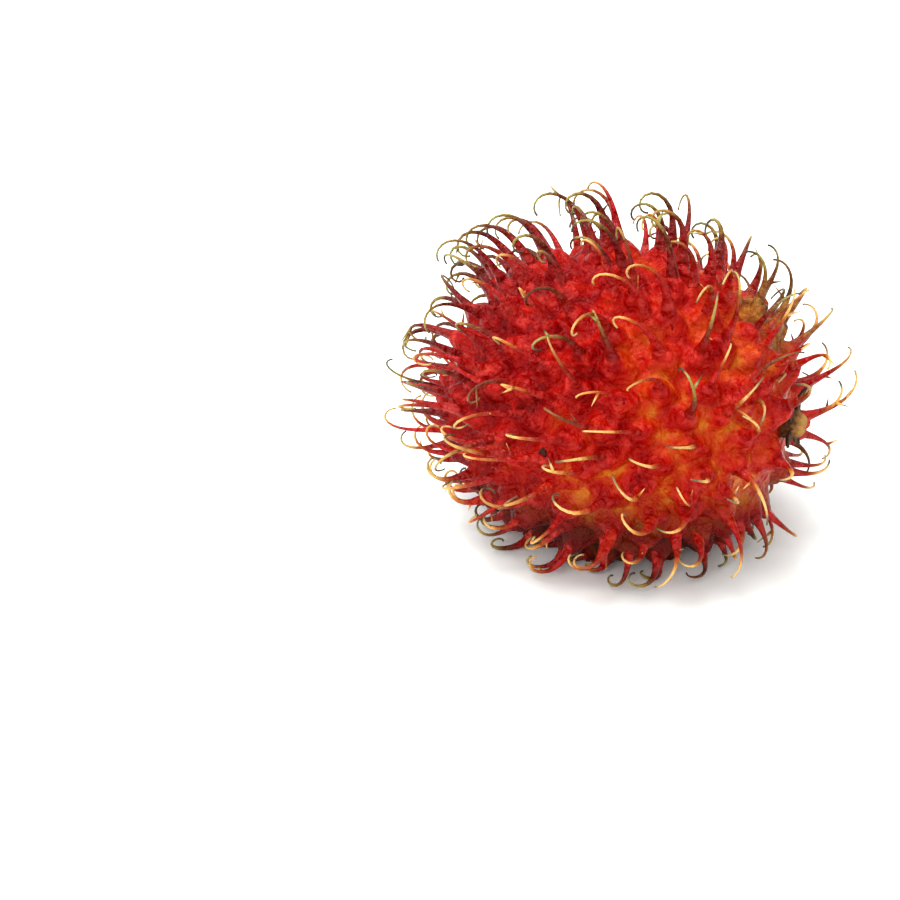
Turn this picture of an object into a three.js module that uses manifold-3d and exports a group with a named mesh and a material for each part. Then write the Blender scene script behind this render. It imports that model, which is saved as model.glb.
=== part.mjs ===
// A whole rambutan, as picked, lying on its side.
//
// Millimetres. The origin is the centre of the small flat spot that the fruit rests on, +Z is up,
// and +X runs along the fruit's long axis towards the end where its stalk broke off. The fruit
// grew as one piece, so skin, hairs and stalk scar are joined into one solid.

import * as THREE from "three";
import { mergeVertices } from "three/addons/utils/BufferGeometryUtils.js";
import Module from "manifold-3d";

const wasm = await Module();
wasm.setup();

// The body under the hairs, a spheroid with its long axis along X.
const FRUIT_LENGTH = 48.5;
const FRUIT_DIAMETER = 41;
const REST_SPOT_RADIUS = 4.5;
const SKIN_DETAIL = 5;

// The hairs, set on one even spiral round the long axis: fleshy at the root, thin at the tip.
const HAIR_SITES = 288;
const HAIR_LENGTH = 13.8;
const HAIR_LENGTH_SPREAD = 2.8;
const HAIR_ROOT_HEIGHT = -0.2;
const HAIR_ROOT_DEPTH = 1.2;
const HAIR_ROOT_RADIUS = 2;
const HAIR_STEM_RADIUS = 0.95;
const HAIR_TIP_RADIUS = 0.15;
const HAIR_ROOT_TAPER = 5;
const HAIR_STEM_TAPER = 1.8;
const LEAST_GIRTH = 0.7;
const GIRTH_SPREAD = 0.35;
const TIP_END_GIRTH = 0.8;
const TIP_END_REACH = 0.6;
const HAIR_FLATNESS = 0.8;
const HAIR_SIDES = 3;
const HAIR_STEPS = 14;
const ROOT_STEP_SHARE = 1.6;
const RING_STEPS = [0, 4, 8, 11];
const SITE_JITTER = 0.3;
const GOLDEN_ANGLE = Math.PI * (3 - Math.sqrt(5));

// How a hair stands and curls: it leaves the skin square, leans a little up and towards the
// fruit's tip, and its outer part hooks over towards the tip, less so round the stalk.
const UP_LEAN = 0.4;
const START_LEAN = THREE.MathUtils.degToRad(12);
const START_LEAN_SPREAD = THREE.MathUtils.degToRad(12);
const HOOK_LEAST = THREE.MathUtils.degToRad(150);
const HOOK_SPREAD = THREE.MathUtils.degToRad(160);
const HOOK_POWER = 3.2;
const SIDE_SWING = THREE.MathUtils.degToRad(30);
const TWIST = THREE.MathUtils.degToRad(50);
const STALK_END_START = 0.25;
const STALK_END_FULL = 0.85;
const STALK_END_HOOK = 0.5;
const STALK_END_LENGTH = 0.8;
const STALK_END_SWING = 3.5;

// Hairs under the fruit are shorter, pressed flat along the floor, and splay outwards. A corner
// this close to the floor rests on it, so the fruit lies on its lowest hairs as well.
const UNDERSIDE_START = 0.1;
const UNDERSIDE_FULL = 0.8;
const UNDERSIDE_LENGTH = 0.72;
const PRESS_HEIGHT = 2.5;
const PRESSED_HEIGHT = 0.5;
const FLOOR_SPLAY = 0.2;
const FLOOR_TOUCH = 0.55;
const BARE_HEIGHT = 0.7;

// The dried stalk scar on the +X end.
const SCAR_RADIUS = 2.1;
const SCAR_TOP_RADIUS = 1.8;
const SCAR_HEIGHT = 3.4;
const SCAR_SUNK = 1.2;
const SCAR_LIFT = 1.5;
const SCAR_SIDES = 12;
const BARE_SCAR_RADIUS = 5;

const halfLength = FRUIT_LENGTH / 2;
const radius = FRUIT_DIAMETER / 2;
const centreHeight = Math.sqrt(radius ** 2 - REST_SPOT_RADIUS ** 2);
const centre = new THREE.Vector3(0, 0, centreHeight);
const UP = new THREE.Vector3(0, 0, 1);
const TOWARDS_TIP = new THREE.Vector3(-1, 0, 0);

// A repeatable value from 0 to 1 for one trait of one hair.
const VARY_RANGE = 1009;
const TRAIT = { angle: 0, place: 1, length: 2, hook: 3, swing: 4, lean: 5, twist: 6, girth: 7 };

function vary(hair, trait) {
  const mixed = hair * hair * (37 + 23 * trait) + hair * (13 + 101 * trait) + 59 * trait * trait;
  return (mixed % VARY_RANGE) / VARY_RANGE;
}

function vary2(hair, trait) {
  return 2 * vary(hair, trait) - 1;
}

// Where a hair leaves the skin, and how square, sideways and tipwards lie there.
function hairSite(hair) {
  const spacing = Math.sqrt((4 * Math.PI) / HAIR_SITES);
  const even = 1 - (2 * hair + 1) / HAIR_SITES;
  const along = THREE.MathUtils.clamp(even + SITE_JITTER * spacing * vary2(hair, TRAIT.place), -1, 1);
  const ring = Math.sqrt(1 - along ** 2);
  const jitter = (SITE_JITTER * spacing * vary2(hair, TRAIT.angle)) / Math.max(ring, spacing);
  const angle = hair * GOLDEN_ANGLE + jitter;
  const root = new THREE.Vector3(
    halfLength * along,
    radius * ring * Math.cos(angle),
    centreHeight + radius * ring * Math.sin(angle),
  );
  const square = root.clone().sub(centre);
  square.divide(new THREE.Vector3(halfLength ** 2, radius ** 2, radius ** 2)).normalize();
  return { along, root, square };
}

// A hair grows where the fruit has one: not in the stalk scar, and not on the flat spot.
function hasHair({ along, root }) {
  const fromAxis = radius * Math.sqrt(1 - along ** 2);
  const inScar = along > 0 && fromAxis < BARE_SCAR_RADIUS;
  return !inScar && root.z > BARE_HEIGHT;
}

// The part of a vector square to a unit direction, at unit length.
function squareTo(vector, direction) {
  return vector.clone().addScaledVector(direction, -vector.dot(direction)).normalize();
}

// Keeps a hair off the floor: what would go under it lies just over it, further out.
function pressToFloor(point) {
  if (point.z >= PRESS_HEIGHT) {
    return point;
  }
  const room = PRESS_HEIGHT - PRESSED_HEIGHT;
  const height = PRESSED_HEIGHT + room * Math.exp((point.z - PRESS_HEIGHT) / room);
  const outwards = new THREE.Vector3(point.x, point.y, 0).normalize();
  const pressed = point.clone().addScaledVector(outwards, FLOOR_SPLAY * (height - point.z));
  pressed.z = height;
  return pressed;
}

// How much of a hair's length lies before a step: the steps shorten towards the curled tip.
function partGrown(step) {
  const even = step / HAIR_STEPS;
  return even * (ROOT_STEP_SHARE - (ROOT_STEP_SHARE - 1) * even);
}

// The middle line of a hair, from under the skin to the tip, and the direction across its hook.
function hairPath(hair, { along, root, square }) {
  const start = square.clone().addScaledVector(UP, UP_LEAN * (1 + square.z) / 2).normalize();
  const stalkEnd = THREE.MathUtils.smoothstep(along, STALK_END_START, STALK_END_FULL);
  const underside = THREE.MathUtils.smoothstep(-square.z, UNDERSIDE_START, UNDERSIDE_FULL);
  const swing = SIDE_SWING * THREE.MathUtils.lerp(1, STALK_END_SWING, stalkEnd);
  const turn = swing * vary2(hair, TRAIT.swing);
  const hookway = squareTo(TOWARDS_TIP, start).applyAxisAngle(start, turn);
  const hook = (HOOK_LEAST + HOOK_SPREAD * vary(hair, TRAIT.hook))
    * THREE.MathUtils.lerp(1, STALK_END_HOOK, stalkEnd);
  const lean = START_LEAN + START_LEAN_SPREAD * vary2(hair, TRAIT.lean);
  const length = (HAIR_LENGTH + HAIR_LENGTH_SPREAD * vary2(hair, TRAIT.length))
    * THREE.MathUtils.lerp(1, STALK_END_LENGTH, stalkEnd)
    * THREE.MathUtils.lerp(1, UNDERSIDE_LENGTH, underside);

  const points = [root.clone().addScaledVector(square, HAIR_ROOT_HEIGHT)];
  for (let step = 1; step <= HAIR_STEPS; step += 1) {
    const before = partGrown(step - 1);
    const after = partGrown(step);
    const midway = (before + after) / 2;
    const bend = lean + hook * midway ** HOOK_POWER;
    const twist = TWIST * vary2(hair, TRAIT.twist) * midway;
    const sidelong = hookway.clone().applyAxisAngle(start, twist);
    const next = points.at(-1).clone();
    next.addScaledVector(start, Math.cos(bend) * length * (after - before));
    next.addScaledVector(sidelong, Math.sin(bend) * length * (after - before));
    points.push(next);
  }
  points[0].addScaledVector(square, -HAIR_ROOT_DEPTH);
  return { points: points.map(pressToFloor), across: start.clone().cross(hookway) };
}

function hairGirth(hair, { along }) {
  const stalkwards = THREE.MathUtils.smoothstep(along, -TIP_END_REACH, TIP_END_REACH);
  const girth = LEAST_GIRTH + GIRTH_SPREAD * vary(hair, TRAIT.girth);
  return girth * THREE.MathUtils.lerp(TIP_END_GIRTH, 1, stalkwards);
}

function hairRadius(fraction, girth) {
  const stem = (HAIR_STEM_RADIUS - HAIR_TIP_RADIUS) * (1 - fraction) ** HAIR_STEM_TAPER;
  const flare = (HAIR_ROOT_RADIUS - HAIR_STEM_RADIUS) * (1 - fraction) ** HAIR_ROOT_TAPER;
  return HAIR_TIP_RADIUS + girth * (stem + flare);
}

// A closed geometry with rings of corners round a path, a flat root and a pointed end.
function taperedHair({ points, across }, girth) {
  const corners = [];
  const triangles = [];
  for (const step of RING_STEPS) {
    const before = points[Math.max(step - 1, 0)];
    const heading = points[step + 1].clone().sub(before).normalize();
    const inwards = squareTo(across.clone().cross(heading), heading);
    const sideways = heading.clone().cross(inwards);
    const size = hairRadius(partGrown(step), girth);
    for (let side = 0; side < HAIR_SIDES; side += 1) {
      const angle = (2 * Math.PI * side) / HAIR_SIDES;
      const corner = points[step].clone();
      corner.addScaledVector(inwards, size * Math.cos(angle));
      corner.addScaledVector(sideways, size * HAIR_FLATNESS * Math.sin(angle));
      corners.push(corner);
    }
  }
  const tip = corners.length;
  corners.push(points[HAIR_STEPS].clone());

  for (let side = 0; side < HAIR_SIDES; side += 1) {
    const next = (side + 1) % HAIR_SIDES;
    for (let ring = 0; ring + HAIR_SIDES < tip; ring += HAIR_SIDES) {
      triangles.push(ring + side, ring + next, ring + HAIR_SIDES + next);
      triangles.push(ring + side, ring + HAIR_SIDES + next, ring + HAIR_SIDES + side);
    }
    triangles.push(tip - HAIR_SIDES + side, tip - HAIR_SIDES + next, tip);
  }
  for (let side = 1; side + 1 < HAIR_SIDES; side += 1) {
    triangles.push(0, side + 1, side);
  }

  for (const corner of corners) {
    if (corner.z < FLOOR_TOUCH) {
      corner.z = 0;
    }
  }
  const geometry = new THREE.BufferGeometry().setFromPoints(corners);
  geometry.setIndex(triangles);
  return geometry;
}

// Turns a closed three.js geometry into a solid that can be joined and cut.
function toSolid(geometry) {
  const bare = geometry.clone();
  bare.deleteAttribute("normal");
  bare.deleteAttribute("uv");
  const merged = mergeVertices(bare);
  return new wasm.Manifold(new wasm.Mesh({
    numProp: 3,
    vertProperties: new Float32Array(merged.attributes.position.array),
    triVerts: new Uint32Array(merged.index.array),
  }));
}

function toGeometry(solid) {
  const mesh = solid.getMesh();
  const geometry = new THREE.BufferGeometry();
  geometry.setAttribute("position", new THREE.BufferAttribute(mesh.vertProperties, mesh.numProp));
  geometry.setIndex(new THREE.BufferAttribute(mesh.triVerts, 1));
  geometry.computeVertexNormals();
  return geometry;
}

// The body, with everything below the floor cut off to leave the flat spot.
function skin() {
  const body = new THREE.IcosahedronGeometry(1, SKIN_DETAIL);
  body.scale(halfLength, radius, radius);
  body.translate(0, 0, centreHeight);
  const ground = new THREE.BoxGeometry(FRUIT_LENGTH, FRUIT_DIAMETER, FRUIT_DIAMETER);
  ground.translate(0, 0, -FRUIT_DIAMETER / 2);
  return toSolid(body).subtract(toSolid(ground));
}

function stalkScar() {
  const scar = new THREE.CylinderGeometry(SCAR_TOP_RADIUS, SCAR_RADIUS, SCAR_HEIGHT, SCAR_SIDES);
  scar.rotateZ(-Math.PI / 2);
  scar.translate(halfLength - SCAR_SUNK + SCAR_HEIGHT / 2, 0, centreHeight + SCAR_LIFT);
  return toSolid(scar);
}

function wholeFruit() {
  let fruit = skin().add(stalkScar());
  for (let hair = 0; hair < HAIR_SITES; hair += 1) {
    const site = hairSite(hair);
    if (hasHair(site)) {
      fruit = fruit.add(toSolid(taperedHair(hairPath(hair, site), hairGirth(hair, site))));
    }
  }
  return fruit;
}

const rind = new THREE.MeshStandardMaterial({ color: 0xb0140f, roughness: 0.45, metalness: 0 });
const rambutan = new THREE.Mesh(toGeometry(wholeFruit()), rind);
rambutan.name = "rambutan";

const group = new THREE.Group();
group.add(rambutan);

export default group;
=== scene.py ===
# A whole rambutan, as picked, lying on its side on a pale table.
#
# Metres. The origin is the centre of the flat spot that the fruit rests on, +Z is up, and +X runs
# along the fruit towards the end where its stalk broke off. The fruit grew as one piece. Its looks
# are made in four: the skin, the hairs that stand out of it, the dried stalk scar and a broken hair.

import math

import bmesh
import bpy
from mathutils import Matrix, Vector


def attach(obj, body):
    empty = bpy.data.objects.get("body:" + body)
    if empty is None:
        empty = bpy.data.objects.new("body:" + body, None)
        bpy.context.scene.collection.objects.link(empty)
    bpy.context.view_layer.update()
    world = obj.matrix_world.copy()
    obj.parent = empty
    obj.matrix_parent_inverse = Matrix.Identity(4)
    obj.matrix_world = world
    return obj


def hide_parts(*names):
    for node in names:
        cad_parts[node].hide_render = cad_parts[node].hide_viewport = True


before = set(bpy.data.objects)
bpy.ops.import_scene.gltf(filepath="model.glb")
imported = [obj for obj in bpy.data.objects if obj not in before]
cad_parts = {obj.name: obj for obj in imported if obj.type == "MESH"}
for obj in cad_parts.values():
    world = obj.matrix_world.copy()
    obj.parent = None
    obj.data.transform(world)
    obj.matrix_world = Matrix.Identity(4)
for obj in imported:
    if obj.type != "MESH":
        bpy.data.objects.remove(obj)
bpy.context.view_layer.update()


# --- The table, the light and the camera -------------------------------------------------------
# A wide white card under one large soft lamp high over the fruit, with a weaker lamp to fill the
# shadows from the front. The camera stands a forearm away, looking down on the fruit's long side.

HALF_TABLE = 3.0
CARD_COLOUR = (0.95, 1.0, 0.98, 1)
CARD_ROUGHNESS = 0.9

table_mesh = bpy.data.meshes.new("table")
table_corners = [(x * HALF_TABLE, y * HALF_TABLE, 0) for x, y in ((-1, -1), (1, -1), (1, 1), (-1, 1))]
table_mesh.from_pydata(table_corners, [], [(0, 1, 2, 3)])
table = bpy.data.objects.new("table", table_mesh)
bpy.context.scene.collection.objects.link(table)

card = bpy.data.materials.new("white card")
card.use_nodes = True
card_shader = card.node_tree.nodes["Principled BSDF"]
card_shader.inputs["Base Color"].default_value = CARD_COLOUR
card_shader.inputs["Roughness"].default_value = CARD_ROUGHNESS
card_shader.inputs["Specular IOR Level"].default_value = 0.0
table_mesh.materials.append(card)


def soft_lamp(name, towards, distance, size, watts):
    """A square lamp that many metres out from the fruit, facing it."""
    lamp = bpy.data.lights.new(name, "AREA")
    lamp.size = size
    lamp.energy = watts
    holder = bpy.data.objects.new(name, lamp)
    out = Vector(towards).normalized()
    holder.location = out * distance
    holder.rotation_euler = out.to_track_quat("Z", "Y").to_euler()
    bpy.context.scene.collection.objects.link(holder)


soft_lamp("high lamp", towards=(-0.22, -0.12, 1), distance=0.7, size=0.42, watts=4.4)
soft_lamp("front lamp", towards=(0.1, -1, 0.7), distance=0.9, size=0.5, watts=2.4)

ROOM_BRIGHTNESS = 0.88

sky = bpy.data.worlds.new("room")
sky.use_nodes = True
sky.node_tree.nodes["Background"].inputs["Color"].default_value = (1, 1, 1, 1)
sky.node_tree.nodes["Background"].inputs["Strength"].default_value = ROOM_BRIGHTNESS
bpy.context.scene.world = sky
bpy.context.scene.view_settings.view_transform = "Standard"
bpy.context.scene.view_settings.look = "Medium High Contrast"

CAMERA_TURN = math.radians(20)
CAMERA_RISE = math.radians(25)
CAMERA_DISTANCE = 0.35
CAMERA_LENS = 100
NEAREST_SEEN = 0.01
FARTHEST_SEEN = 20
LOOK_HEIGHT = 0.020
FRUIT_RIGHT_OF_MIDDLE = 0.0239
FRUIT_ABOVE_MIDDLE = 0.0076

camera_data = bpy.data.cameras.new("camera")
camera_data.lens = CAMERA_LENS
camera_data.clip_start = NEAREST_SEEN
camera_data.clip_end = FARTHEST_SEEN
camera = bpy.data.objects.new("camera", camera_data)
bpy.context.scene.collection.objects.link(camera)
bpy.context.scene.camera = camera

back = Vector((
    math.sin(CAMERA_TURN) * math.cos(CAMERA_RISE),
    -math.cos(CAMERA_TURN) * math.cos(CAMERA_RISE),
    math.sin(CAMERA_RISE),
))
right = Vector((0, 0, 1)).cross(back).normalized()
fruit_middle = Vector((0, 0, LOOK_HEIGHT))
camera.location = fruit_middle + back * CAMERA_DISTANCE
aim = fruit_middle - right * FRUIT_RIGHT_OF_MIDDLE - back.cross(right) * FRUIT_ABOVE_MIDDLE
camera.rotation_euler = (camera.location - aim).to_track_quat("Z", "Y").to_euler()


# --- The skin ----------------------------------------------------------------------------------
# A thin leathery rind, longer than it is wide. It swells into a fleshy mound under every hair and
# sinks into orange valleys between them, and it has settled flat where the fruit lies on it.

FRUIT = {
    "Fruit length": 0.0485,
    "Fruit diameter": 0.041,
    "Rest spot radius": 0.0045,
    "Hair sites": 288,
    "Site jitter": 0.3,
    "Bare scar radius": 0.0050,
    "Bare height": 0.0007,
}
GOLDEN_ANGLE = math.pi * (3 - math.sqrt(5))
VARY_RANGE = 1009
ANGLE, PLACE, LENGTH, HOOK, SWING, LEAN, TWIST, GIRTH, TINT, DRYNESS, BARB = range(11)

SKIN = {
    "Skin level": 7,
    "Mound height": 0.0016,
    "Mound radius": 0.0023,
    "Mound stretch": 0.8,
    "Mound warp": 0.0012,
    "Collar height": 0.0009,
    "Collar radius": 0.0013,
    "Valley depth": 0.0009,
    "Buttress height": 0.0014,
    "Wrinkle size": 0.0015,
    "Wrinkle height": 0.0010,
}


class Flow:
    """A number or vector on its way through a node tree: arithmetic on it adds the tree's nodes."""

    def __init__(self, nodes, socket):
        self.nodes = nodes
        self.socket = socket

    def work(self, operation, other=0.0, flipped=False):
        pair = (other, self) if flipped else (self, other)
        vectors = [is_vector(part) for part in pair]
        if not any(vectors):
            return self.nodes.add("ShaderNodeMath", {"operation": operation}, dict(enumerate(pair)))
        if operation == "MULTIPLY" and not all(vectors):
            vector, number = pair if vectors[0] else reversed(pair)
            scaling = {0: vector, "Scale": number}
            return self.nodes.add("ShaderNodeVectorMath", {"operation": "SCALE"}, scaling)
        return self.nodes.add("ShaderNodeVectorMath", {"operation": operation}, dict(enumerate(pair)))

    def __add__(self, other):
        return self.work("ADD", other)

    def __radd__(self, other):
        return self.work("ADD", other, flipped=True)

    def __sub__(self, other):
        return self.work("SUBTRACT", other)

    def __rsub__(self, other):
        return self.work("SUBTRACT", other, flipped=True)

    def __mul__(self, other):
        return self.work("MULTIPLY", other)

    def __rmul__(self, other):
        return self.work("MULTIPLY", other, flipped=True)

    def __truediv__(self, other):
        return self.work("DIVIDE", other)

    def __rtruediv__(self, other):
        return self.work("DIVIDE", other, flipped=True)

    def __mod__(self, other):
        return self.work("MODULO", other)

    def __pow__(self, other):
        return self.work("POWER", other)

    def __gt__(self, other):
        return self.work("GREATER_THAN", other)

    def __lt__(self, other):
        return self.work("LESS_THAN", other)

    def at_least(self, other):
        return self.work("MAXIMUM", other)

    def at_most(self, other):
        return self.work("MINIMUM", other)

    def cross(self, other):
        return self.work("CROSS_PRODUCT", other)

    def dot(self, other):
        return self.work("DOT_PRODUCT", other)

    def unit(self):
        return self.nodes.add("ShaderNodeVectorMath", {"operation": "NORMALIZE"}, {0: self})

    def parts(self):
        """The vector's x, y and z."""
        return [self.nodes.add("ShaderNodeSeparateXYZ", {}, {0: self}, output=i) for i in range(3)]

    def length(self):
        return self.nodes.add("ShaderNodeVectorMath", {"operation": "LENGTH"}, {0: self})

    def ramp(self, low, high):
        """0 below low, 1 above high and an even curve between them."""
        limits = {"Value": self, "From Min": low, "From Max": high}
        return self.nodes.add("ShaderNodeMapRange", {"interpolation_type": "SMOOTHSTEP"}, limits)


def is_vector(part):
    """True for a flow of vectors and for a plain vector, which is written as a tuple."""
    return part.socket.type == "VECTOR" if isinstance(part, Flow) else isinstance(part, tuple)


class Nodes:
    """A node tree being written. add() puts in a node of any kind and hands back an output."""

    def __init__(self, tree):
        self.tree = tree

    def add(self, kind, settings=None, inputs=None, output=None):
        node = self.tree.nodes.new(kind)
        for name, value in (settings or {}).items():
            if name == "stops":
                self.set_stops(node.color_ramp, value)
            else:
                setattr(node, name, value)
        for name, value in (inputs or {}).items():
            socket = self.open_socket(node.inputs, name)
            if isinstance(value, Flow):
                self.tree.links.new(value.socket, socket)
            else:
                socket.default_value = value
        return Flow(self, self.open_socket(node.outputs, output))

    @staticmethod
    def open_socket(sockets, name):
        if isinstance(name, int):
            return sockets[name]
        return next(socket for socket in sockets if socket.enabled and name in (None, socket.name))

    @staticmethod
    def set_stops(ramp, stops):
        while len(ramp.elements) < len(stops):
            ramp.elements.new(0.5)
        for element, (place, colour) in zip(ramp.elements, stops):
            element.position = place
            element.color = (*colour, 1)

    def vector(self, x, y, z):
        return self.add("ShaderNodeCombineXYZ", {}, {0: x, 1: y, 2: z})

    def noise(self, place, size, detail=2.0, output="Fac"):
        """Cloudy noise from 0 to 1, with blots about as wide as size."""
        settings = {"Vector": place, "Scale": 1 / size, "Detail": float(detail)}
        return self.add("ShaderNodeTexNoise", {}, settings, output=output)

    def even_noise(self, place, size, detail):
        """The same noise from -0.5 to 0.5."""
        return self.noise(place, size, detail) - 0.5


class Coat(Nodes):
    """A new material: the nodes that its colours come from, and the shader that they go to."""

    def __init__(self, name, shine):
        self.material = bpy.data.materials.new(name)
        self.material.use_nodes = True
        super().__init__(self.material.node_tree)
        self.shader = self.tree.nodes["Principled BSDF"]
        self.shader.inputs["Specular IOR Level"].default_value = shine
        self.place = self.add("ShaderNodeTexCoord", output="Object")

    def kept(self, name):
        """The value that the mesh keeps under that name."""
        return self.add("ShaderNodeAttribute", {"attribute_name": name}, output="Fac")

    def colours(self, stops, value):
        """The colour that the value falls on, along a row of colours."""
        return self.add("ShaderNodeValToRGB", {"stops": stops}, {"Fac": value})

    def blend(self, share, colour, over):
        """The colour, with that share of another over it."""
        return self.add("ShaderNodeMix", {"data_type": "RGBA"}, {"Factor": share, "A": colour, "B": over})

    def bump(self, strength, depth, relief):
        """A relief that deep, too fine to be in the mesh."""
        return self.add("ShaderNodeBump", {}, {"Strength": strength, "Distance": depth, "Height": relief})

    def let_light_in(self, share, depth, by_colour):
        """Lets a share of the light go that deep into the flesh, deeper for some colours."""
        self.shader.inputs["Subsurface Weight"].default_value = share
        self.shader.inputs["Subsurface Radius"].default_value = by_colour
        self.shader.inputs["Subsurface Scale"].default_value = depth

    def paint(self, colour, roughness, bump):
        """Gives the shader its finish."""
        for name, value in (("Base Color", colour), ("Roughness", roughness), ("Normal", bump)):
            self.tree.links.new(value.socket, self.shader.inputs[name])


class GeometryTree(Nodes):
    """A geometry node tree whose named inputs are the sizes given, to be grown into one mesh."""

    KINDS = {float: "NodeSocketFloat", int: "NodeSocketInt", bpy.types.Material: "NodeSocketMaterial"}

    def __init__(self, name, sizes):
        super().__init__(bpy.data.node_groups.new(name, "GeometryNodeTree"))
        self.values = sizes
        for label, value in sizes.items():
            kind = self.KINDS[type(value)]
            self.tree.interface.new_socket(label, in_out="INPUT", socket_type=kind)
        self.tree.interface.new_socket("Geometry", in_out="OUTPUT", socket_type="NodeSocketGeometry")
        entry = self.tree.nodes.new("NodeGroupInput")
        self.size = {label: Flow(self, entry.outputs[label]) for label in sizes}

    def stored(self, geometry, name, value, kind="FLOAT", domain="POINT"):
        """The geometry with the value kept on it under that name."""
        settings = {"data_type": kind, "domain": domain}
        inputs = {"Geometry": geometry, "Name": name, "Value": value}
        return self.add("GeometryNodeStoreNamedAttribute", settings, inputs)

    def kept(self, name, kind="FLOAT"):
        """The value kept on the geometry under that name."""
        return self.add("GeometryNodeInputNamedAttribute", {"data_type": kind}, {"Name": name})

    def joined(self, *parts):
        """The parts as one geometry, in the order given."""
        node = self.tree.nodes.new("GeometryNodeJoinGeometry")
        for part in reversed(parts):
            self.tree.links.new(part.socket, node.inputs[0])
        return Flow(self, node.outputs[0])

    def grow(self, name, geometry):
        """Coats the geometry, runs the tree once, and leaves what it makes as a plain mesh."""
        smooth = self.add("GeometryNodeSetShadeSmooth", {}, {"Geometry": geometry})
        whole = self.add("GeometryNodeRealizeInstances", {}, {"Geometry": smooth})
        coat = {"Geometry": whole, "Material": self.size["Material"]}
        coated = self.add("GeometryNodeSetMaterial", {}, coat)
        end = self.tree.nodes.new("NodeGroupOutput")
        self.tree.links.new(coated.socket, end.inputs[0])

        piece = bpy.data.objects.new(name, bpy.data.meshes.new(name + " seed"))
        bpy.context.scene.collection.objects.link(piece)
        modifier = piece.modifiers.new(name, "NODES")
        modifier.node_group = self.tree
        for socket in self.tree.interface.items_tree:
            if socket.in_out == "INPUT":
                modifier[socket.identifier] = self.values[socket.name]
        evaluated = piece.evaluated_get(bpy.context.evaluated_depsgraph_get())
        mesh = bpy.data.meshes.new_from_object(evaluated)
        piece.modifiers.remove(modifier)
        piece.data = mesh
        return piece


def vary(hair, trait):
    """A repeatable value from 0 to 1 for one trait of one hair."""
    mixed = hair * hair * (37 + 23 * trait) + hair * (13 + 101 * trait) + 59 * trait * trait
    return mixed % VARY_RANGE / VARY_RANGE


def vary2(hair, trait):
    """The same from -1 to 1."""
    return 2 * vary(hair, trait) - 1


def fruit_centre(tree):
    """The middle of the fruit, as high as a body cut flat at its rest spot stands."""
    radius = tree.size["Fruit diameter"] / 2
    rest = tree.size["Rest spot radius"]
    return tree.vector(0, 0, (radius * radius - rest * rest) ** 0.5)


def half_sizes(tree):
    """How far the plain body reaches from its middle along x, y and z."""
    radius = tree.size["Fruit diameter"] / 2
    return tree.vector(tree.size["Fruit length"] / 2, radius, radius)


def hair_site(tree, hair):
    """Where a hair leaves the skin, on an even spiral round the long axis, and whether it does."""
    sites = tree.size["Hair sites"]
    radius = tree.size["Fruit diameter"] / 2
    wander = tree.size["Site jitter"] * (4 * math.pi / sites) ** 0.5
    even = 1 - (2 * hair + 1) / sites
    along = (even + wander * vary2(hair, PLACE)).at_least(-1).at_most(1)
    ring = (1 - along * along) ** 0.5
    turn = wander * vary2(hair, ANGLE) / ring.at_least((4 * math.pi / sites) ** 0.5)
    angle = hair * GOLDEN_ANGLE + turn
    unit_place = tree.vector(along, ring * angle.work("COSINE"), ring * angle.work("SINE"))
    root = fruit_centre(tree) + half_sizes(tree) * unit_place
    square = (unit_place / half_sizes(tree)).unit()

    in_scar = (along > 0) * (radius * ring < tree.size["Bare scar radius"])
    bare = in_scar.at_least(root.parts()[2] < tree.size["Bare height"])
    return along, root, square, bare


def hair_roots(tree, stretch=(1, 1, 1)):
    """One point at the root of each hair, which keeps the hair's number."""
    hair = tree.add("GeometryNodeInputIndex")
    along, root, square, bare = hair_site(tree, hair)
    places = {"Count": tree.size["Hair sites"], "Position": root * stretch}
    points = tree.stored(tree.add("GeometryNodePoints", {}, places), "hair", hair)
    return tree.add("GeometryNodeDeleteGeometry", {}, {"Geometry": points, "Selection": bare})


# Crimson, through red, to the orange of the valleys.
RIND_COLOURS = [
    (0.00, (0.13, 0.000, 0.000)),
    (0.30, (0.26, 0.001, 0.001)),
    (0.55, (0.38, 0.008, 0.002)),
    (0.80, (0.46, 0.050, 0.005)),
    (1.00, (0.53, 0.150, 0.014)),
]
PAINTED_HIGHLIGHT_COLOUR = (0.52, 0.052, 0.042, 1)
RIPE_BLOT_SIZE = 0.012
MOTTLE_SIZE = 0.0038
GRAIN_SIZE = 0.0014


def rind_colour(coat, rise):
    """Red, with a painted pink highlight on the mounds' tops. Towards the stalk and the underside the
    valleys between them are orange; towards the tip and the top they are dark crimson, painted shade."""
    ripe_blots = coat.even_noise(coat.place, RIPE_BLOT_SIZE, 2) * 1.6
    mottle = coat.even_noise(coat.place, MOTTLE_SIZE, 3) * 1.1
    grain = coat.even_noise(coat.place, GRAIN_SIZE, 3) * 0.5
    x, y, z = coat.place.parts()
    stalkwards = x / FRUIT["Fruit length"]
    downwards = 0.5 - z / FRUIT["Fruit diameter"]
    # Valleys turn orange towards the stalk and the underside, and dark crimson towards the tip and the
    # top, painted shade in the creases.
    ripe_side_against_crease_shade = (stalkwards + downwards * 0.5 + ripe_blots).ramp(-0.45, 0.35)
    warmth = 0.40 + (1 - rise) * (ripe_side_against_crease_shade * 0.9 - 0.25) + (mottle + grain)
    # A painted pink highlight in flecks on the tops of the mounds.
    painted_highlight = (rise * 0.6 + coat.even_noise(coat.place, GRAIN_SIZE, 4) * 2.6).ramp(0.35, 1.1)
    return coat.blend(painted_highlight * 0.6, coat.colours(RIND_COLOURS, warmth), PAINTED_HIGHLIGHT_COLOUR)


DRY_PATCH = (0.0195, 0.0066, 0.0340)
DRY_PATCH_RADIUS = 0.0085
DRY_EDGE_SIZE = 0.0025
DRY_STREAK_SIZE = 0.0022
DRY_STREAKS = (1, 2.5, 1)
DRY_COLOURS = [
    (0.35, (0.060, 0.030, 0.008)),
    (0.48, (0.200, 0.085, 0.014)),
    (0.62, (0.330, 0.170, 0.030)),
]


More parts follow.
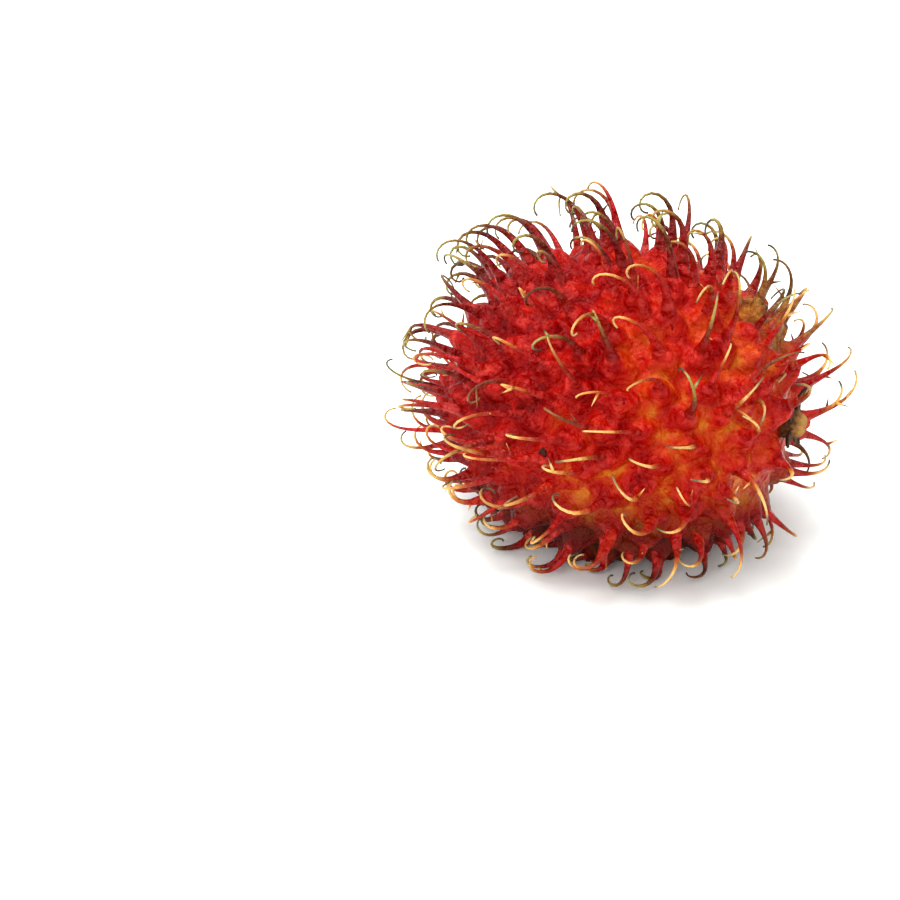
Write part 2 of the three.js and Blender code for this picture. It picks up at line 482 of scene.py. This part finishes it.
def with_dry_patch(coat, colour):
    """The colour, turned ochre-brown where a patch on the fruit's shoulder has dried."""
    from_patch = (coat.place - DRY_PATCH).length() / DRY_PATCH_RADIUS
    ragged = coat.even_noise(coat.place, DRY_EDGE_SIZE, 3) * 1.5
    patch = 1 - (from_patch + ragged).ramp(0.35, 1.05)
    dried = coat.colours(DRY_COLOURS, coat.noise(coat.place * DRY_STREAKS, DRY_STREAK_SIZE, 4))
    return coat.blend(patch * 0.85, colour, dried)


PAINTED_SHADE_COLOUR = (0.030, 0.003, 0.002, 1)
PAINTED_SHADE_HEIGHTS = (0.12, 0.46)


def painted_shade_below(coat, rise, colour):
    """The colour, darkened to near black-brown in the valleys low down: painted shade under the fruit."""
    low = 1 - (coat.place.parts()[2] / FRUIT["Fruit diameter"]).ramp(*PAINTED_SHADE_HEIGHTS)
    return coat.blend(low * (1 - rise * 0.4), colour, PAINTED_SHADE_COLOUR)


PORE_SIZE = 0.0007
SOFT_LUMP_SIZE = 0.0018
RELIEF_DEPTH = 0.0006


def paint_rind(coat, colour):
    """Puts the colour on, with the fine grain of the rind: pores over soft lumps."""
    pores = coat.noise(coat.place, PORE_SIZE, 4)
    relief = pores * 0.4 + coat.noise(coat.place, SOFT_LUMP_SIZE, 3) * 2.2
    coat.paint(colour, pores * 0.4 + 0.12, coat.bump(1.0, RELIEF_DEPTH, relief))


coat = Coat("rambutan skin", shine=0.14)
coat.let_light_in(share=0.1, depth=0.001, by_colour=(1.0, 0.2, 0.1))
rise = coat.kept("rise")
skin_colour = with_dry_patch(coat, rind_colour(coat, rise))
# Painted shade darkens the skin's valleys low down under the fruit.
paint_rind(coat, painted_shade_below(coat, rise, skin_colour))

WARP_SIZE = 0.003
BUTTRESS_SIZE = 0.45
BUTTRESS_ROUND = 0.5
BUTTRESS_APART = 300
BARE_END = (0.001, 0.006)

tree = GeometryTree("skin", {**FRUIT, **SKIN, "Material": coat.material})
size = tree.size
ball = tree.add("GeometryNodeMeshIcoSphere", {}, {"Radius": 1, "Subdivisions": size["Skin level"]})
on_ball = tree.add("GeometryNodeInputPosition")
bare_skin = fruit_centre(tree) + half_sizes(tree) * on_ball
square = (on_ball / half_sizes(tree)).unit()
stretch = tree.vector(size["Mound stretch"], 1, 1)
warp = (tree.noise(bare_skin, WARP_SIZE, 2, output="Color") - (0.5, 0.5, 0.5)) * size["Mound warp"] * 2
sampled = (bare_skin + warp) * stretch
nearest = tree.add("GeometryNodeProximity", {"target_element": "POINTS"}, {
    "Geometry": hair_roots(tree, stretch),
    "Sample Position": sampled,
}, output="Position")
away = sampled - nearest
reach = away.length() / size["Mound radius"]
mound = (reach * reach * -1).work("EXPONENT")
collar_reach = away.length() / size["Collar radius"]
collar = (collar_reach * collar_reach * -1).work("EXPONENT")
round_root = away.unit() * BUTTRESS_ROUND + nearest * BUTTRESS_APART
buttress = tree.even_noise(round_root, BUTTRESS_SIZE, 2)
wrinkles = tree.even_noise(bare_skin, size["Wrinkle size"], 3)
height = size["Mound height"] * mound - size["Valley depth"] * (1 - mound)
height = height + size["Collar height"] * collar
height = height + size["Buttress height"] * buttress * mound * (1 - collar)
height = height + size["Wrinkle height"] * wrinkles
lumpy = bare_skin + square * height
x, y, z = lumpy.parts()
resting = tree.vector(x, y, z.at_least(0.0))
from_stalk_end = (fruit_centre(tree) + half_sizes(tree) * (1, 0, 0) - bare_skin).dot((1, 0, 0))
round_scar = 1 - from_stalk_end.ramp(*BARE_END)
rise = mound.at_least(round_scar * 0.7) * 0.8 + 0.1 + wrinkles * 1.2 + buttress * 0.6
rise = rise.at_least(0).at_most(1)
ball = tree.stored(ball, "rise", rise)
ball = tree.add("GeometryNodeSetPosition", {}, {"Geometry": ball, "Position": resting})
skin = tree.grow("skin", ball)

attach(skin, "root")
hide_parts("rambutan")


# --- The hairs ---------------------------------------------------------------------------------
# Soft fleshy outgrowths of the rind: broad and crimson at the root, thin and yellow-green or dried
# brown at the tip, which hooks over towards the fruit's tip. Those underneath lie pressed flat.

HAIRS = {
    "Hair length": 0.0138,
    "Length spread": 0.0028,
    "Root height": -0.0002,
    "Root radius": 0.0020,
    "Stem radius": 0.00095,
    "Tip radius": 0.00015,
    "Root taper": 5.0,
    "Stem taper": 1.8,
    "Flatness": 0.8,
    "Sides": 6,
    "Steps": 14,
    "Up lean": 0.4,
    "Start lean": math.radians(12),
    "Start lean spread": math.radians(12),
    "Hook least": math.radians(150),
    "Hook spread": math.radians(160),
    "Hook power": 3.2,
    "Side swing": math.radians(30),
    "Twist": math.radians(50),
    "Lumps": 0.22,
    "Least girth": 0.7,
    "Girth spread": 0.35,
    "Tip end girth": 0.8,
    "Stalk end hook": 0.5,
    "Stalk end length": 0.8,
    "Stalk end swing": 3.5,
    "Underside length": 0.72,
    "Press height": 0.0025,
    "Pressed height": 0.0005,
    "Floor splay": 0.2,
    "Floor gap": 0.00005,
    "Barb chance": 0.22,
    "Barb length": 0.0020,
    "Barb radius": 0.00026,
    "Strips across": 18,
    "Strips up": 16,
}
STALK_END = (0.25, 0.85)
UNDERSIDE = (0.1, 0.8)
BARBS_EACH = 2
FIRST_BARB_STEP = 4
BARB_STEP_GAP = 3
BARB_LEAN = 0.6
BARB_RIPENS = 0.35
BARB_SIDES = 5
BARB_STEPS = 3
BARB_POINT = 0.15
LEAST_BARB = 0.5
STRIP_GAP = 0.03
SIDES_FROM = 0.4999
SIDE_STRIP = 0.3
END_STRIP = 0.2
BARB_STRIP = 0.9
ROOT_STEP_SHARE = 1.6
LUMP_SIZE = 0.0016
LUMP_APART = 0.001
THINNER_ALONG = (-0.6, 0.6)


def square_to(vector, direction):
    """The way that a vector points once it is turned square to a direction."""
    return (vector - direction * vector.dot(direction)).unit()


def hair_heading(tree, hair):
    """How a hair sets out from the skin, which way it leans and hooks, how far, and its length."""
    size = tree.size
    along, root, square, bare = hair_site(tree, hair)
    lift = size["Up lean"] * (1 + square.parts()[2]) / 2
    start = (square + (0, 0, 1) * lift).unit()
    stalk_end = along.ramp(*STALK_END)
    swing = size["Side swing"] * (1 + (size["Stalk end swing"] - 1) * stalk_end)
    turn = swing * vary2(hair, SWING)
    tipwards = square_to(tree.vector(-1, 0, 0), start)
    hookway = tipwards * turn.work("COSINE") + start.cross(tipwards) * turn.work("SINE")
    hook = size["Hook least"] + size["Hook spread"] * vary(hair, HOOK)
    hook = hook * (1 + (size["Stalk end hook"] - 1) * stalk_end)
    lean = size["Start lean"] + size["Start lean spread"] * vary2(hair, LEAN)
    length = size["Hair length"] + size["Length spread"] * vary2(hair, LENGTH)
    length = length * (1 + (size["Stalk end length"] - 1) * stalk_end)
    underside = (square.parts()[2] * -1).ramp(*UNDERSIDE)
    length = length * (1 + (size["Underside length"] - 1) * underside)
    return root + square * size["Root height"], start, hookway, lean, hook, length


def part_grown(tree, step):
    """How much of a hair's length lies before a step: the steps shorten towards the curled tip."""
    even = step / tree.size["Steps"]
    return even * (ROOT_STEP_SHARE - (ROOT_STEP_SHARE - 1) * even)


def pressed_to_floor(tree, place):
    """What would go under the floor lies just over it instead, further out."""
    x, y, z = place.parts()
    low = tree.size["Pressed height"]
    room = tree.size["Press height"] - low
    pressed = low + room * ((z - tree.size["Press height"]) / room).at_most(0).work("EXPONENT")
    height = pressed.at_least(z)
    outwards = tree.vector(x, y, 0).unit()
    return tree.vector(x, y, height) + outwards * (tree.size["Floor splay"] * (height - z))


# From the root to the tip. Most hairs turn golden. Those high up, at the fruit's tip or close to the
# table turn olive.
GOLDEN_COLOURS = [
    (0.34, (0.38, 0.003, 0.003)),
    (0.50, (0.26, 0.014, 0.004)),
    (0.62, (0.38, 0.110, 0.014)),
    (0.74, (0.71, 0.405, 0.125)),
    (0.90, (0.57, 0.410, 0.150)),
    (1.00, (0.15, 0.120, 0.060)),
]
OLIVE_COLOURS = [
    (0.30, (0.26, 0.003, 0.003)),
    (0.46, (0.09, 0.007, 0.004)),
    (0.60, (0.12, 0.035, 0.008)),
    (0.76, (0.27, 0.190, 0.040)),
    (0.88, (0.30, 0.280, 0.090)),
    (1.00, (0.08, 0.065, 0.045)),
]
PAINTED_STEM_SHADE_COLOUR = (0.13, 0.005, 0.003, 1)
DRIED_HAIR_COLOUR = (0.10, 0.030, 0.010, 1)
HAIR_MOTTLE_SIZE = 0.0022
ROOT_RISE = 0.85
NEAR_FLOOR = (0.02, 0.26)

coat = Coat("rambutan hairs", shine=0.28)
coat.let_light_in(share=0.1, depth=0.0007, by_colour=(1.0, 0.3, 0.1))
grown = coat.kept("grown")
tint = coat.kept("tint") - 0.5
ripeness = grown + tint * 0.25 + coat.even_noise(coat.place, HAIR_MOTTLE_SIZE, 4) * 0.3
x, y, z = coat.place.parts()
tipwards = (x * (-1 / FRUIT["Fruit length"])).at_least(0)
height = z / FRUIT["Fruit diameter"]
# How dried the hairs are high up and towards the fruit's tip, which also sets how much painted shade
# their stems get.
dried_and_shaded = height + tipwards * tipwards * 1.5 + tint * 0.8
near_floor = 1 - height.ramp(*NEAR_FLOOR)
outer_colour = coat.blend(
    (dried_and_shaded + near_floor * 1.2).ramp(0.8, 1.2),
    coat.colours(GOLDEN_COLOURS, ripeness),
    coat.colours(OLIVE_COLOURS, ripeness),
)
# Painted shade: the lower stems of hairs high up and towards the fruit's tip are darkened.
painted_stem_shade = dried_and_shaded.ramp(0.6, 1.2) * grown.ramp(0.0, 0.3) * 0.75
root_colour = coat.blend(painted_stem_shade, rind_colour(coat, ROOT_RISE), PAINTED_STEM_SHADE_COLOUR)
past_root = grown.ramp(0.2, 0.6)
hair_colour = coat.blend(past_root, root_colour, outer_colour)
dried = coat.kept("dryness").ramp(0.8, 1.0) * past_root
hair_colour = coat.blend(dried, hair_colour, DRIED_HAIR_COLOUR)
paint_rind(coat, with_dry_patch(coat, hair_colour))

tree = GeometryTree("hairs", {**FRUIT, **HAIRS, "Material": coat.material})
size = tree.size
ring_count = size["Steps"] + 1

index = tree.add("GeometryNodeInputIndex")
hair = (index / ring_count).work("FLOOR")
step = index - hair * ring_count
root, start, hookway, lean, hook, length = hair_heading(tree, hair)
before = part_grown(tree, (step - 1).at_least(0))
after = part_grown(tree, step)
midway = (before + after) / 2
bend = lean + hook * midway ** size["Hook power"]
twist = size["Twist"] * vary2(hair, TWIST) * midway
sidelong = hookway * twist.work("COSINE") + start.cross(hookway) * twist.work("SINE")
move = (start * bend.work("COSINE") + sidelong * bend.work("SINE")) * (length * (after - before))
reached = tree.add("GeometryNodeAccumulateField", {"data_type": "FLOAT_VECTOR"}, {
    "Value": move,
    "Group ID": hair,
}, output="Leading")
middle_line = tree.add("GeometryNodePoints", {}, {
    "Count": size["Hair sites"] * ring_count,
})
middle_line = tree.add("GeometryNodeSetPosition", {}, {
    "Geometry": middle_line,
    "Position": pressed_to_floor(tree, root + reached),
})


def on_middle_line(step):
    """The middle of a hair's ring at that step, for the hair whose number is kept here."""
    places = {
        "Geometry": middle_line,
        "Value": tree.add("GeometryNodeInputPosition"),
        "Index": tree.kept("hair") * ring_count + step.at_least(0).at_most(size["Steps"]),
    }
    return tree.add("GeometryNodeSampleIndex", {"data_type": "FLOAT_VECTOR"}, places)


tube = tree.add("GeometryNodeMeshCylinder", {"fill_type": "NGON"}, {
    "Vertices": size["Sides"],
    "Side Segments": size["Steps"],
    "Radius": 1,
    "Depth": 1,
}, output="Mesh")
strip = Flow(tree, tube.socket.node.outputs["UV Map"])
tube_x, tube_y, tube_z = tree.add("GeometryNodeInputPosition").parts()
tube = tree.stored(tube, "step", ((tube_z + 0.5) * size["Steps"]).work("ROUND"))
tube = tree.stored(tube, "round", tube_y.work("ARCTAN2", tube_x))
tube = tree.stored(tube, "strip", strip, "FLOAT2", "CORNER")
tubes = tree.add("GeometryNodeInstanceOnPoints", {}, {"Points": hair_roots(tree), "Instance": tube})
tubes = tree.add("GeometryNodeRealizeInstances", {}, {"Geometry": tubes})

hair = tree.kept("hair")
step = tree.kept("step")
middle = on_middle_line(step)
heading = (on_middle_line(step + 1) - on_middle_line(step - 1)).unit()
start, hookway = hair_heading(tree, hair)[1:3]
inwards = square_to(start.cross(hookway).cross(heading), heading)
sideways = heading.cross(inwards)
grown = part_grown(tree, step)
stem = (size["Stem radius"] - size["Tip radius"]) * (1 - grown) ** size["Stem taper"]
foot = (size["Root radius"] - size["Stem radius"]) * (1 - grown) ** size["Root taper"]
thick = size["Tip radius"] + stem + foot
turn = tree.kept("round")
knob = inwards * turn.work("COSINE") + sideways * turn.work("SINE")
lumps = tree.even_noise(middle + knob * LUMP_APART, LUMP_SIZE, 2)
along = hair_site(tree, hair)[0]
girth = size["Least girth"] + size["Girth spread"] * vary(hair, GIRTH)
girth = girth * (size["Tip end girth"] + (1 - size["Tip end girth"]) * along.ramp(*THINNER_ALONG))
thick = size["Tip radius"] + (thick - size["Tip radius"]) * girth * (1 + size["Lumps"] * 2 * lumps)
rim = inwards * (thick * turn.work("COSINE"))
rim = rim + sideways * (thick * size["Flatness"] * turn.work("SINE"))
x, y, z = (middle + rim).parts()
tubes = tree.add("GeometryNodeSetPosition", {}, {
    "Geometry": tubes,
    "Position": tree.vector(x, y, z.at_least(size["Floor gap"])),
})
tubes = tree.stored(tubes, "grown", grown)


def on_own_strip(geometry, across, up):
    """Lays a hair's faces on its own strip of the map that its colours are baked on."""
    hair = tree.kept("hair")
    column = hair % size["Strips across"]
    row = (hair / size["Strips across"]).work("FLOOR")
    x = (column + STRIP_GAP + across * (1 - 2 * STRIP_GAP)) / size["Strips across"]
    y = (row + STRIP_GAP + up * (1 - 2 * STRIP_GAP)) / size["Strips up"]
    return tree.stored(geometry, "OFBake", tree.vector(x, y, 0), "FLOAT2", "CORNER")


strip_x, strip_y, unused = tree.kept("strip", "FLOAT_VECTOR").parts()
on_end = strip_y < SIDES_FROM
side_y = SIDE_STRIP + (strip_y - 0.5) * 2 * (1 - SIDE_STRIP)
tubes = on_own_strip(tubes, strip_x, on_end * (strip_y * END_STRIP) + (1 - on_end) * side_y)

index = tree.add("GeometryNodeInputIndex")
hair = (index / BARBS_EACH).work("FLOOR")
barbs = tree.add("GeometryNodePoints", {}, {"Count": size["Hair sites"] * BARBS_EACH})
barbs = tree.stored(barbs, "hair", hair)
barbs = tree.stored(barbs, "barb", index)
bare = hair_site(tree, tree.kept("hair"))[3]
missing = bare.at_least(vary(tree.kept("barb"), BARB) > size["Barb chance"])
barbs = tree.add("GeometryNodeDeleteGeometry", {}, {"Geometry": barbs, "Selection": missing})
hair = tree.kept("hair")
place_on_hair = tree.kept("barb") - hair * BARBS_EACH
step = FIRST_BARB_STEP + place_on_hair * BARB_STEP_GAP
heading = (on_middle_line(step + 1) - on_middle_line(step - 1)).unit()
start, hookway = hair_heading(tree, hair)[1:3]
across = square_to(start.cross(hookway), heading)
round_hair = vary(tree.kept("barb"), TWIST) * (2 * math.pi)
outwards = across * round_hair.work("COSINE") + across.cross(heading) * round_hair.work("SINE")
barbs = tree.add("GeometryNodeSetPosition", {}, {"Geometry": barbs, "Position": on_middle_line(step)})
spike = tree.add("GeometryNodeMeshCone", {"fill_type": "NGON"}, {
    "Vertices": BARB_SIDES,
    "Side Segments": BARB_STEPS,
    "Radius Top": BARB_POINT,
    "Radius Bottom": 1,
    "Depth": 1,
}, output="Mesh")
spike_height = tree.add("GeometryNodeInputPosition").parts()[2]
spike_map = Flow(tree, spike.socket.node.outputs["UV Map"])
spike = tree.stored(spike, "up", spike_height)
spike = tree.stored(spike, "strip", spike_map, "FLOAT2", "CORNER")
spikes = tree.add("GeometryNodeInstanceOnPoints", {}, {
    "Points": barbs,
    "Instance": spike,
    "Rotation": tree.add("FunctionNodeAlignRotationToVector", {"axis": "Z"}, {
        "Vector": heading * BARB_LEAN + outwards,
    }),
    "Scale": tree.vector(
        size["Barb radius"],
        size["Barb radius"],
        size["Barb length"] * (LEAST_BARB + vary(tree.kept("barb"), LENGTH)),
    ),
})
spikes = tree.add("GeometryNodeRealizeInstances", {}, {"Geometry": spikes})
x, y, z = tree.add("GeometryNodeInputPosition").parts()
spikes = tree.add("GeometryNodeSetPosition", {}, {
    "Geometry": spikes,
    "Position": tree.vector(x, y, z.at_least(size["Floor gap"])),
})
place_on_hair = tree.kept("barb") - tree.kept("hair") * BARBS_EACH
step = FIRST_BARB_STEP + place_on_hair * BARB_STEP_GAP
spikes = tree.stored(spikes, "grown", part_grown(tree, step) + tree.kept("up") * BARB_RIPENS)
strip_x, strip_y, unused = tree.kept("strip", "FLOAT_VECTOR").parts()
strip_x = (strip_x + place_on_hair) / BARBS_EACH
strip_y = END_STRIP / 2 + strip_y * (SIDE_STRIP - END_STRIP / 2) * BARB_STRIP
spikes = on_own_strip(spikes, strip_x, strip_y)

whole = tree.joined(tubes, spikes)
whole = tree.stored(whole, "tint", vary(tree.kept("hair"), TINT))
whole = tree.stored(whole, "dryness", vary(tree.kept("hair"), DRYNESS))
hairs = tree.grow("hairs", whole)

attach(hairs, "root")
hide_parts("rambutan")


# --- The stalk scar ----------------------------------------------------------------------------
# Where the woody stalk broke away: a dry ochre plug, cracked from the middle out, in a ring of five
# small brown flower lobes. It grew into the rind, so it is sunk into the skin.

SCAR_RADIUS = 0.0020
SCAR_RINGS = 12
SCAR_SPOKES = 60
SCAR_PROUD = 0.0022
SCAR_SUNK = 0.0012
SCAR_LIFT = 0.0015
PIT_RADIUS = 0.25
PIT_DEPTH = 0.0004
CRACKS = 7
CRACK_DEPTH = 0.00022
CRACK_WANDER = 2
CRACK_SHARPNESS = 6
SHOULDER_SHARPNESS = 4
BROAD_BULGE = 0.07
NARROW_BULGE = 0.04

fruit_radius = FRUIT["Fruit diameter"] / 2
axis_height = math.sqrt(fruit_radius**2 - FRUIT["Rest spot radius"]**2)
scar_centre_height = axis_height + SCAR_LIFT
end_of_fruit = FRUIT["Fruit length"] / 2


def scar_height(share, angle):
    """How far the plug stands off the fruit's end, at a share of its radius."""
    shoulder = (1 - share**SHOULDER_SHARPNESS) ** 0.5 if share < 1 else 0
    pit = PIT_DEPTH * math.exp(-((share / PIT_RADIUS) ** 2))
    crack = 0.5 + 0.5 * math.cos(CRACKS * angle + CRACK_WANDER * math.sin(3 * angle))
    return SCAR_PROUD * shoulder - pit - CRACK_DEPTH * share * crack**CRACK_SHARPNESS


def scar_plug(builder):
    """The plug as one closed shape: a cracked top on rings of points, and a sunk round back."""
    rings = []
    for ring in range(1, SCAR_RINGS + 1):
        share = ring / SCAR_RINGS
        row = []
        for spoke in range(SCAR_SPOKES):
            angle = 2 * math.pi * spoke / SCAR_SPOKES
            bulge = BROAD_BULGE * math.sin(3 * angle + 1) + NARROW_BULGE * math.sin(5 * angle)
            out = SCAR_RADIUS * share * (1 + share * bulge)
            row.append(builder.verts.new((
                end_of_fruit + scar_height(share, angle),
                out * math.cos(angle),
                scar_centre_height + out * math.sin(angle),
            )))
        rings.append(row)
    rings.append([builder.verts.new(point.co - Vector((SCAR_SUNK, 0, 0))) for point in rings[-1]])
    top = builder.verts.new((end_of_fruit + scar_height(0, 0), 0, scar_centre_height))
    back_middle = builder.verts.new((end_of_fruit - SCAR_SUNK, 0, scar_centre_height))
    for spoke in range(SCAR_SPOKES):
        following = (spoke + 1) % SCAR_SPOKES
        builder.faces.new((top, rings[0][spoke], rings[0][following]))
        builder.faces.new((back_middle, rings[-1][following], rings[-1][spoke]))
        for inner, outer in zip(rings, rings[1:]):
            builder.faces.new((inner[spoke], outer[spoke], outer[following], inner[following]))


LOBES = 5
LOBE_STEPS = 8
LOBE_START = 0.0014
LOBE_LENGTH = 0.0030
LOBE_WIDTH = 0.0021
LOBE_THICKNESS = 0.00035
LOBE_CURL = math.radians(55)
LOBE_SIDES = 10
LOBE_WANDER = 0.3
LOBE_SPREAD = 0.35
LOBE_PROUD = 0.0007
LOBE_LIES_FLAT = 0.35
LOBE_POINT = 1.6
LOBE_BLUNT = 0.004
LOBE_CUP = 0.12
LOBE_THINS = 0.5


def scar_lobe(builder, angle, length):
    """One dried lobe: flat oval rings along a line that leans out over the skin and curls up."""
    outwards = Vector((0, math.cos(angle), math.sin(angle)))
    across = Vector((0, -math.sin(angle), math.cos(angle)))
    forwards = Vector((1, 0, 0))
    place = Vector((end_of_fruit + LOBE_PROUD, 0, scar_centre_height)) + outwards * LOBE_START
    rows = []
    for step in range(LOBE_STEPS + 1):
        share = step / LOBE_STEPS
        lift = LOBE_CURL * (share - LOBE_LIES_FLAT)
        heading = outwards * math.cos(lift) + forwards * math.sin(lift)
        upwards = forwards * math.cos(lift) - outwards * math.sin(lift)
        width = LOBE_WIDTH / 2 * math.sqrt(max(1 - share**LOBE_POINT, LOBE_BLUNT))
        row = []
        for side in range(LOBE_SIDES):
            turn = 2 * math.pi * side / LOBE_SIDES
            cupped = LOBE_CUP * LOBE_WIDTH * math.cos(turn) ** 2
            offset = across * (width * math.cos(turn))
            offset += upwards * (LOBE_THICKNESS * (1 - LOBE_THINS * share) * math.sin(turn) + cupped)
            row.append(builder.verts.new(place + offset))
        rows.append(row)
        place = place + heading * (length / LOBE_STEPS)
    builder.faces.new(reversed(rows[0]))
    builder.faces.new(rows[-1])
    for near, far in zip(rows, rows[1:]):
        for side in range(LOBE_SIDES):
            following = (side + 1) % LOBE_SIDES
            builder.faces.new((near[side], near[following], far[following], far[side]))


def built_piece(name, builder, coat):
    """The builder's closed shapes as one smooth piece with that coat on."""
    bmesh.ops.recalc_face_normals(builder, faces=builder.faces)
    mesh = bpy.data.meshes.new(name)
    builder.to_mesh(mesh)
    builder.free()
    mesh.shade_smooth()
    mesh.materials.append(coat.material)
    piece = bpy.data.objects.new(name, mesh)
    bpy.context.scene.collection.objects.link(piece)
    return piece


FIBRE_DEPTH = 0.0002


def paint_dried(coat, fibre, colour):
    """Puts the colour on as a dull, fibrous finish."""
    coat.paint(colour, fibre * 0.3 + 0.6, coat.bump(0.8, FIBRE_DEPTH, fibre))


SCAR_FIBRE_SIZE = 0.0005
# Ochre on the plug's middle, then brown, and nearly black on the lobes.
SCAR_COLOURS = [
    (0.00, (0.36, 0.19, 0.045)),
    (0.35, (0.24, 0.11, 0.030)),
    (0.75, (0.06, 0.025, 0.012)),
    (1.00, (0.02, 0.010, 0.007)),
]

coat = Coat("dried stalk scar", shine=0.3)
from_axis = ((coat.place - (end_of_fruit, 0, scar_centre_height)) * (0, 1, 1)).length()
fibre = coat.noise(coat.place, SCAR_FIBRE_SIZE, 4)
age = (from_axis / SCAR_RADIUS).ramp(0.6, 1.15) * 0.8 + (fibre - 0.5) * 0.9
paint_dried(coat, fibre, coat.colours(SCAR_COLOURS, age))

builder = bmesh.new()
scar_plug(builder)
for lobe in range(LOBES):
    turn = 2 * math.pi * (lobe + LOBE_WANDER * vary2(lobe, ANGLE)) / LOBES
    scar_lobe(builder, turn, LOBE_LENGTH * (1 + LOBE_SPREAD * vary2(lobe, HOOK)))
scar = built_piece("stalk_scar", builder, coat)

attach(scar, "root")
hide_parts("rambutan")


# --- The broken hair ---------------------------------------------------------------------------
# One hair on the fruit's side snapped off near its root, and the stub has dried almost black. It
# grew out of the rind like the other hairs, so its foot is sunk in the skin.

STUB_ALONG = -0.0030
STUB_TURN = math.radians(2.5)
STUB_HEIGHT = 0.0021
STUB_SUNK = 0.0010
STUB_FOOT_RADIUS = 0.0010
STUB_END_RADIUS = 0.0006
STUB_HOLLOW = 0.0004
STUB_RAGGED = 0.00025
STUB_WOBBLE = 0.18
STUB_SIDES = 14
STUB_RINGS = 6


def broken_hair(builder):
    """The stub as one closed shape: rings of points up to a ragged end with a hollow in it."""
    ring_radius = fruit_radius * math.sqrt(1 - (STUB_ALONG / end_of_fruit) ** 2)
    from_axis = Vector((0, -math.cos(STUB_TURN), math.sin(STUB_TURN)))
    root = Vector((STUB_ALONG, 0, axis_height)) + from_axis * ring_radius
    across = Vector((1, 0, 0))
    upwards = from_axis.cross(across)
    rings = []
    for ring in range(STUB_RINGS + 1):
        share = ring / STUB_RINGS
        row = []
        for side in range(STUB_SIDES):
            turn = 2 * math.pi * side / STUB_SIDES
            height = share * (STUB_SUNK + STUB_HEIGHT + STUB_RAGGED * vary2(side, HOOK)) - STUB_SUNK
            out = STUB_END_RADIUS + (STUB_FOOT_RADIUS - STUB_END_RADIUS) * (1 - share) ** 2
            out *= 1 + STUB_WOBBLE * vary2(side + ring * STUB_SIDES, GIRTH)
            sidelong = across * math.cos(turn) + upwards * math.sin(turn)
            row.append(builder.verts.new(root + from_axis * height + sidelong * out))
        rings.append(row)
    foot = builder.verts.new(root - from_axis * STUB_SUNK)
    hollow = builder.verts.new(root + from_axis * (STUB_HEIGHT - STUB_HOLLOW))
    for side in range(STUB_SIDES):
        following = (side + 1) % STUB_SIDES
        builder.faces.new((foot, rings[0][following], rings[0][side]))
        builder.faces.new((hollow, rings[-1][side], rings[-1][following]))
        for lower, upper in zip(rings, rings[1:]):
            builder.faces.new((lower[side], lower[following], upper[following], upper[side]))


STUB_FIBRE_SIZE = 0.0004
STUB_COLOURS = [
    (0.35, (0.012, 0.006, 0.004)),
    (0.65, (0.070, 0.028, 0.012)),
]

coat = Coat("dried hair stub", shine=0.3)
fibre = coat.noise(coat.place, STUB_FIBRE_SIZE, 4)
paint_dried(coat, fibre, coat.colours(STUB_COLOURS, fibre))

builder = bmesh.new()
broken_hair(builder)
stub = built_piece("broken_hair", builder, coat)

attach(stub, "root")
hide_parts("rambutan")
